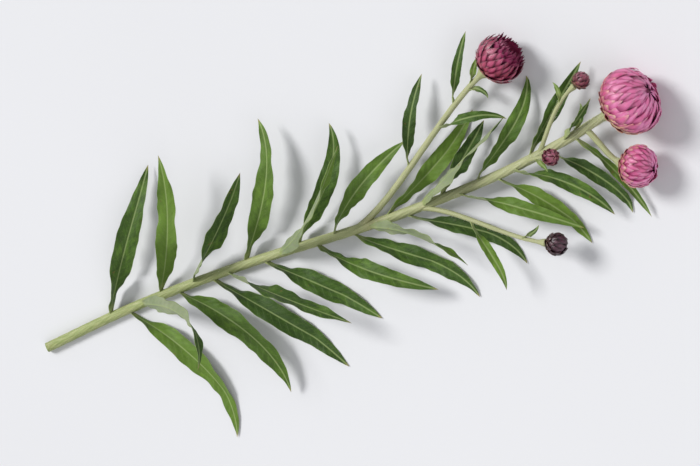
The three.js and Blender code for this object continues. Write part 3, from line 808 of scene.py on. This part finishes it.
def add_bract(piece, place, start, slopes, length, width, turn, bend_radius, point, seed, **values):
    """Adds one bract. start is the radius and height of its root, slopes those of its two ends."""
    s = np.linspace(0, 1, BRACT.rows)[:, None]
    u = np.sin(np.linspace(-1, 1, BRACT.columns) * math.pi / 2)[None, :]
    r, z, slope = bract_line(start, slopes, length)
    half = bract_half_width(width, s, point)
    sag = bract_sag(s, u, half, bend_radius, seed)
    aside = BRACT.lean * length * draw(seed + 0.31) * s**2 - u * half
    out = np.array([cos(turn), sin(turn), 0])
    left = np.cross(UP, out)
    middle = ((r - sag * np.cos(slope))[..., None] * out + aside[..., None] * left
              + (z + sag * np.sin(slope))[..., None] * UP)
    normal = np.cos(slope)[..., None] * out - np.sin(slope)[..., None] * UP
    thin = BRACT.half_thickness * lerp(1, BRACT.edge_thickness, np.abs(u) ** 4)
    add_sheet(piece, placed(middle, place), normal @ place[:3, :3].T, thin, thin,
              along=s, across=u, **values)


def stray(key, seed):
    most, step = STRAY[key]
    return most * draw(seed + step)


def spiral_bracts(name, head, place):
    """The bracts of a head, in a golden-angle spiral from its base to its mouth."""
    piece = Piece(name.replace("bracts", "spiral"))
    low, high = (sin(radians(v)) for v in head["latitude"])
    for j in range(head["count"]):
        share = (j + 0.5) / head["count"]
        tip = math.asin(lerp(low, high, 1 - (1 - share) ** head["crowding"]))
        turn = radians(j * GOLDEN_ANGLE + stray("turn", j))
        length = lerp(*head["length"], min(1, 1.6 * share)) * (1 + stray("length", j))
        _, _, tip_slope, speed = body(head, tip)
        r, z, slope, _ = body(head, tip - length / speed)
        start = (r - BRACT.sink * cos(slope), z + BRACT.sink * sin(slope))
        lift = radians(lerp(*head["lift"], share) + stray("lift", j))
        flare = radians(lerp(*head["flare"], share) + stray("flare", j))
        slopes = (slope + lift, tip_slope + flare)
        width = lerp(*head["width"], share) * (1 + stray("width", j))
        point = head["point"] * lerp(BRACT.blunt, 1, min(1, 2 * share))
        add_bract(piece, place, start, slopes, length, width, turn,
                  BRACT.cup * head["radius"], point, j, row=share, tint=stray("tint", j),
                  sunned=cos(turn - BRACT.deep_side_angle))
    piece.build(bract_material(head["finish"]), SLOTS[head["finish"]], name)


def mouth_bracts(name, head, place):
    """Small pointed bracts in rings round the well of an open head."""
    piece = Piece(name.replace("bracts", "mouth"))
    rim = body(head, mouth_latitude(head))[1]
    for ring, (count, radius, depth, length, *slopes) in enumerate(head["mouth_rings"]):
        bend_radius = max(MOUTH_BRACT.least_bend, MOUTH_BRACT.bend * radius)
        for j in range(count):
            turn = (j + 0.5 * ring) * FULL_TURN / count + 0.08 * draw(j + 0.33)
            uneven = (radians(slopes[0]), radians(slopes[1] + 6 * draw(j + 0.53)))
            size = 1 + 0.1 * draw(j + 0.43 + ring)
            width = MOUTH_BRACT.overlap * FULL_TURN * radius / count * size
            add_bract(piece, place, (radius, rim - depth), uneven, length * size, width, turn,
                      bend_radius, MOUTH_BRACT.point, j + 0.05 * ring, row=0.9 + 0.05 * ring,
                      tint=stray("tint", j), sunned=0.0)
    piece.build(mouth_material(head["finish"]), SLOTS[head["finish"]], name)


def disc_florets(head, place):
    """The florets of the open head, in a golden-angle spiral over a low dome."""
    piece = Piece("disc_florets")
    rim = body(head, mouth_latitude(head))[1]
    floor = (rim - head["mouth_depth"] + GAP) * UP
    radius = head["mouth"] * CORE.well - GAP - DISC.inset
    add_turned(piece, place, floor, [(floor + z * UP, radius * r) for r, z in DISC.dome],
               floor + DISC.dome_top * UP, DISC.sides, share=0.0, height=0.0)
    heights = np.array([[up] for _, up in DISC.floret])
    for j in range(DISC.count):
        share = math.sqrt((j + 0.5) / DISC.count)
        angle = radians(j * GOLDEN_ANGLE)
        out = np.array([cos(angle), sin(angle), 0])
        foot = floor + DISC.reach * radius * share * out + lerp(*DISC.base, share**2) * UP
        height = lerp(*DISC.height, share) * (1 + 0.15 * draw(j + 0.3))
        rise = DISC.lean * share * out + height * UP
        add_turned(piece, place, foot, [(foot + up * rise, size) for size, up in DISC.floret],
                   foot + rise, DISC.sides, share=share, height=(0, heights, 1))
    piece.build(disc_material(), "disc", "head_left_disc")


def all_heads():
    for name, head in HEADS.items():
        place = head_place(head)
        head_body(name, head, place)
        spiral_bracts(name, head, place)
        if head["mouth_rings"]:
            mouth_bracts(name, head, place)
        if DISC.head == name:
            disc_florets(head, place)


# Materials

def colour(code):
    """A linear colour from a hexadecimal screen colour."""
    parts = [int(code[i:i + 2], 16) / 255 for i in (0, 2, 4)]
    return (*[v / 12.92 if v <= 0.04045 else ((v + 0.055) / 1.055) ** 2.4 for v in parts], 1.0)


class Value:
    """A node's output, which can be reckoned with or mixed as a colour."""

    def __init__(self, shade, socket):
        self.shade, self.socket = shade, socket

    def __add__(self, other):
        return self.shade.math("ADD", self, other)

    def __sub__(self, other):
        return self.shade.math("SUBTRACT", self, other)

    def __mul__(self, other):
        return self.shade.math("MULTIPLY", self, other)

    def spread(self, low, high, to_low=0.0, to_high=1.0):
        """The value mapped smoothly from one range to another."""
        node = self.shade.tree.nodes.new("ShaderNodeMapRange")
        node.interpolation_type = "SMOOTHSTEP"
        return self.shade.join(node, enumerate((self, low, high, to_low, to_high)), "Result")

    def mix(self, share, other, kind="MIX"):
        node = self.shade.tree.nodes.new("ShaderNodeMix")
        node.data_type = "RGBA"
        node.blend_type = kind
        return self.shade.join(node, [("Factor", share), (6, self), (7, other)], 2)

    def towards(self, name, share):
        """The colour turned by a share towards one of the material's own."""
        return self.mix(share, colour(self.shade.colours[name]))


class Shade:
    """A material's nodes, made and joined by short calls."""

    def __init__(self, name, colours):
        self.colours = colours
        self.material = bpy.data.materials.new(name)
        self.material.use_nodes = True
        self.tree = self.material.node_tree

    def join(self, node, values, output):
        """Gives values to inputs, by their names or numbers, and returns an output."""
        for key, value in values:
            if isinstance(value, Value):
                self.tree.links.new(value.socket, node.inputs[key])
            else:
                node.inputs[key].default_value = value
        return Value(self, node.outputs[output])

    def read(self, attribute):
        node = self.tree.nodes.new("ShaderNodeAttribute")
        node.attribute_name = attribute
        return Value(self, node.outputs["Fac"])

    def vector(self, *parts):
        node = self.tree.nodes.new("ShaderNodeCombineXYZ")
        return self.join(node, enumerate(parts), "Vector")

    def noise(self, scale, detail, at=None):
        """Noise at a vector, or without one at the place on the piece."""
        if at is None:
            at = Value(self, self.tree.nodes.new("ShaderNodeTexCoord").outputs["Object"])
        node = self.tree.nodes.new("ShaderNodeTexNoise")
        return self.join(node, [("Vector", at), ("Scale", scale), ("Detail", detail)], "Fac")

    def math(self, operation, *values):
        node = self.tree.nodes.new("ShaderNodeMath")
        node.operation = operation
        return self.join(node, enumerate(values), "Value")

    def ramp(self, value, name):
        """The colour that the named ramp has at a value."""
        stops = self.colours[name]
        node = self.tree.nodes.new("ShaderNodeValToRGB")
        elements = node.color_ramp.elements
        while len(elements) < len(stops):
            elements.new(1.0)
        for element, (at, code) in zip(elements, stops.items()):
            element.position = at
            element.color = colour(code)
        return self.join(node, [("Fac", value)], "Color")

    def bump(self, height, depth, strength):
        """Tilts the surface by a height pattern. depth is the height of its full range, in mm."""
        node = self.tree.nodes.new("ShaderNodeBump")
        values = [("Strength", strength), ("Distance", depth * MILLIMETRE), ("Height", height)]
        self.surface(Normal=self.join(node, values, "Normal"))

    def soften(self, weight, radius, tint):
        """Lets light through thin tissue."""
        self.surface(Subsurface_Weight=weight, Subsurface_Radius=tint,
                     Subsurface_Scale=radius * MILLIMETRE)

    def surface(self, **values):
        """Sets the surface's values. Their names have _ for a space."""
        values = [(key.replace("_", " "), value) for key, value in values.items()]
        self.join(self.tree.nodes["Principled BSDF"], values, "BSDF")

    def finish(self, base, roughness, specular):
        """Sets the surface's colour and gloss and returns the material."""
        self.surface(Base_Color=base, Roughness=roughness, Specular_IOR_Level=specular)
        return self.material


def leaf_green(shade, blotch):
    """The green of the upper faces, which differs from leaf to leaf."""
    tint = shade.read("tint")
    grain_at = shade.vector(shade.read("across_mm"), shade.read("along_mm") * 0.35, tint)
    green = shade.ramp(blotch, "face")
    green = green.towards("grain", shade.noise(0.5, 4.0, grain_at).spread(0.35, 0.7))
    green = green.towards("light", tint.spread(-0.1, 1.0, 0.0, 0.5))
    return green.towards("dark", tint.spread(-0.1, -1.0, 0.0, 0.5))


def leaf_veins(shade, along, far, edge):
    """Where the side veins run. They waver a little and fade near the edges."""
    path = along - far * LEAF.vein_slope + shade.noise(120.0, 3.0) * 5.0
    wave = shade.math("PINGPONG", shade.math("DIVIDE", path, LEAF.vein_spacing), 0.5)
    return wave.spread(0.0, 0.06, 1.0, 0.0) * edge.spread(0.55, 0.95, 1.0, 0.0)


@cache
def leaf_material():
    """Green leaves with pale veins and midribs and greyer undersides."""
    shade = Shade("leaf", COLOURS["leaf"])
    along, edge = shade.read("along_mm"), shade.read("edge")
    far = shade.math("ABSOLUTE", shade.read("across_mm"))
    blotch = shade.noise(60.0, 2.0)
    veins = leaf_veins(shade, along, far, edge)
    net = shade.math("ABSOLUTE", shade.noise(420.0, 1.0) - 0.5)
    base = leaf_green(shade, blotch).mix(shade.read("under"), shade.ramp(blotch, "underside"))
    base = base.towards("vein", veins * 0.17)
    base = base.towards("vein", net.spread(0.0, 0.03, 1.0, 0.0) * 0.12)
    base = base.towards("fleck", shade.noise(230.0, 2.0).spread(0.72, 0.76) * 0.6)
    base = base.towards("midrib", far.spread(0.12, 0.6, 1.0, 0.0) * 0.6)
    base = base.towards("edge", edge.spread(0.93, 1.0) * 0.35)
    base = base.towards("tip", shade.read("along").spread(0.95, 1.0) * 0.8)
    base = base.towards("root", along.spread(0.5, 8.0, 0.8, 0.0))
    shade.bump(shade.noise(1800.0, 3.0) * 0.35 - veins * 0.5, 0.12, 0.8)
    shade.soften(0.12, 1.2, (0.35, 0.6, 0.12))
    shade.surface(Sheen_Weight=0.06)
    return shade.finish(base, 0.6, 0.25)


@cache
def bract_material(name):
    """Papery bracts with lengthways fibres, roots deepened by painted shade, edges partly deeper
    margins and partly painted shade, paler ends and painted highlights.
    """
    shade = Shade("bract_" + name, BRACT_COLOURS[name])
    along, across, row, tint = (shade.read(key) for key in ("along", "across", "row", "tint"))
    fibre = shade.noise(2.6, 4.0, shade.vector(across * 6.0, along * 0.8, tint * 9.0))
    patch = shade.noise(1.1, 2.0, shade.vector(across, along * 2.0, tint * 9.0))
    uneven = (fibre - 0.5) * 0.5
    reach, width = along + uneven, shade.math("ABSOLUTE", across) + uneven
    # The lower part of each bract takes the root colour, painted shade under the bracts above, and
    # its sides the edge colour, partly deeper margins and partly painted shade between neighbours.
    base = shade.ramp(row, "root").mix(reach.spread(0.3, 0.66), shade.ramp(row, "face"))
    base = base.mix(width.spread(0.45, 0.95) * 0.85, shade.ramp(row, "edge"))

    # Papery ends, which reach further down the old bracts at the base of the head.
    old = row.spread(0.66, 0.26)
    end = reach.spread(shade.math("MULTIPLY_ADD", old, -0.16, 0.8), 1.0)
    end = shade.math("MAXIMUM", end, width.spread(0.4, 0.85) * old * 0.85)
    base = base.mix(end, shade.ramp(row, "tip"))

    # Painted highlights as pale streaks, darker patches, some darker bracts and the deeper side.
    painted_highlight_share = fibre.spread(0.5, 0.74) * along.spread(0.4, 0.8) * patch.spread(0.35, 0.65, 0.2, 0.7)
    base = base.towards("painted_highlight", painted_highlight_share)
    dim = shade.math("MAXIMUM", patch.spread(0.55, 0.3), tint.spread(-0.4, -0.9))
    base = base.mix(dim * 0.5, base.mix(1.0, base, "MULTIPLY"))
    # One side of each head turns towards a deeper colour.
    deep_tone_share = shade.read("sunned").spread(0.1, 1.0) * BRACT_COLOURS[name]["deep_tone_share"]
    base = base.towards("sunned", deep_tone_share * width.spread(0.0, 0.8, 0.5, 1.0))
    shade.bump(fibre, 0.13, 0.8)
    shade.soften(0.12, 1.2, (0.8, 0.25, 0.4))
    return shade.finish(base, fibre.spread(0.3, 0.7, 0.44, 0.24), 0.75)


@cache
def core_material(name):
    shade = Shade("core_" + name, BRACT_COLOURS[name])
    mottle = shade.noise(900.0, 3.0)
    shade.bump(mottle, 0.15, 1.0)
    # The core shows only in the gaps between the bracts, so its dark root colour is painted shade
    # of those gaps, mottled towards the deeper side's colour.
    base = shade.ramp(shade.read("row"), "root")
    return shade.finish(base.towards("sunned", mottle.spread(0.3, 0.7, 0.35, 0.65)), 0.6, 0.3)


@cache
def mouth_material(name):
    """Small bracts at the mouth, dark at their roots and tips, with paler fibres."""
    shade = Shade("mouth_" + name, MOUTH_COLOURS[name])
    along, across, tint = (shade.read(key) for key in ("along", "across", "tint"))
    fibre = shade.noise(2.0, 3.0, shade.vector(across * 5.0, along, tint * 9.0))
    shade.bump(fibre, 0.08, 0.6)
    base = shade.ramp(along, "length").towards("fibre", fibre.spread(0.4, 0.8, 0.0, 0.4))
    return shade.finish(base, 0.42, 0.45)


@cache
def stem_material():
    """Pale green stalks with lengthways streaks, and the pith in the cut."""
    shade = Shade("stem", COLOURS["stem"])
    along, turn = shade.read("along_mm"), shade.read("turn")
    streak_at = shade.vector(along * 0.02, shade.math("SINE", turn), shade.math("COSINE", turn))
    streak = shade.noise(6.0, 5.0, streak_at)
    green = shade.ramp(streak, "streaks").towards("upper", along.spread(0.0, 380.0) * 0.45)
    green = green.towards("blotch", shade.noise(45.0, 3.0).spread(0.55, 0.8, 0.0, 0.35))
    base = green.mix(shade.read("cut"), shade.ramp(shade.read("pith"), "cut"))
    shade.bump(streak * 0.7 + shade.noise(1500.0, 3.0) * 0.3, 0.16, 0.8)
    shade.soften(0.06, 1.0, (0.4, 0.6, 0.2))
    return shade.finish(base, 0.55, 0.4)


@cache
def hair_material():
    shade = Shade("hair", COLOURS["hair"])
    return shade.finish(shade.ramp(shade.noise(300.0, 2.0), "tones"), 0.6, 0.3)


@cache
def disc_material():
    """Florets that are ripe and dark at the disc's edge, with bright tips and dark roots."""
    shade = Shade("disc", COLOURS["disc"])
    height, tone = shade.read("height"), shade.noise(1400.0, 2.0)
    base = shade.ramp(shade.read("share"), "florets").towards("tip", height.spread(0.55, 1.0))
    base = base.towards("fleck", tone.spread(0.3, 0.7, 0.0, 0.4))
    base = base.towards("root", height.spread(0.0, 0.35, 0.7, 0.0))
    shade.bump(tone, 0.1, 1.0)
    return shade.finish(base, 0.55, 0.4)


def floor_material():
    shade = Shade("floor", COLOURS["floor"])
    return shade.finish(shade.ramp(shade.noise(3.0, 2.0), "tones"), 0.75, 0.2)


# The studio

def floor():
    mesh = bpy.data.meshes.new("floor")
    r = FLOOR_REACH
    mesh.from_pydata([(-r, -r, 0), (r, -r, 0), (r, r, 0), (-r, r, 0)], [], [(0, 1, 2, 3)])
    mesh.materials.append(floor_material())
    plane = new_object("floor", mesh)


def studio():
    world = bpy.data.worlds.new("studio")
    world.use_nodes = True
    background = world.node_tree.nodes["Background"]
    background.inputs["Color"].default_value = colour(SKY.colour)
    background.inputs["Strength"].default_value = SKY.strength
    bpy.context.scene.world = world
    for name, (source, width, strength) in LIGHTS.items():
        lamp = bpy.data.lights.new(name, "SUN")
        lamp.angle = radians(width)
        lamp.energy = strength
        holder = new_object(name, lamp)
        holder.rotation_euler = Vector(source).to_track_quat("Z", "Y").to_euler()
    bpy.context.scene.view_settings.view_transform = "Standard"


def camera():
    """Looks down on the stem, leaned towards the heads, as the photograph sees the main head."""
    lean, roll = radians(CAMERA.lean), radians(CAMERA.roll)
    back = Vector((sin(lean), 0, cos(lean)))
    right = Vector((cos(roll), -sin(roll), 0))
    right = (right - right.dot(back) * back).normalized()
    turn = Matrix((right, back.cross(right), back)).transposed().to_4x4()
    data = bpy.data.cameras.new("camera")
    data.lens = CAMERA.lens
    data.clip_start = 0.01
    holder = new_object("camera", data)
    place = Vector(CAMERA.target) + back * CAMERA.distance
    holder.matrix_world = Matrix.Translation(place) @ turn
    bpy.context.scene.camera = holder


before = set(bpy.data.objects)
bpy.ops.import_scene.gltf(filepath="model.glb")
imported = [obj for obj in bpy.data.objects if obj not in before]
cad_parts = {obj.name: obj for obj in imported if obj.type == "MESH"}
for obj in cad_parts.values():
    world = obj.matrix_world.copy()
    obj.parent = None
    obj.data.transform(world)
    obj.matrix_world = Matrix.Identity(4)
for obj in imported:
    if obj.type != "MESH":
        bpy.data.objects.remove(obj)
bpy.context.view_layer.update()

main_stem()
for stalk in SIDE_STALKS:
    side_stalk(stalk)
stem_hairs()
all_leaves()
all_heads()
floor()
studio()
camera()
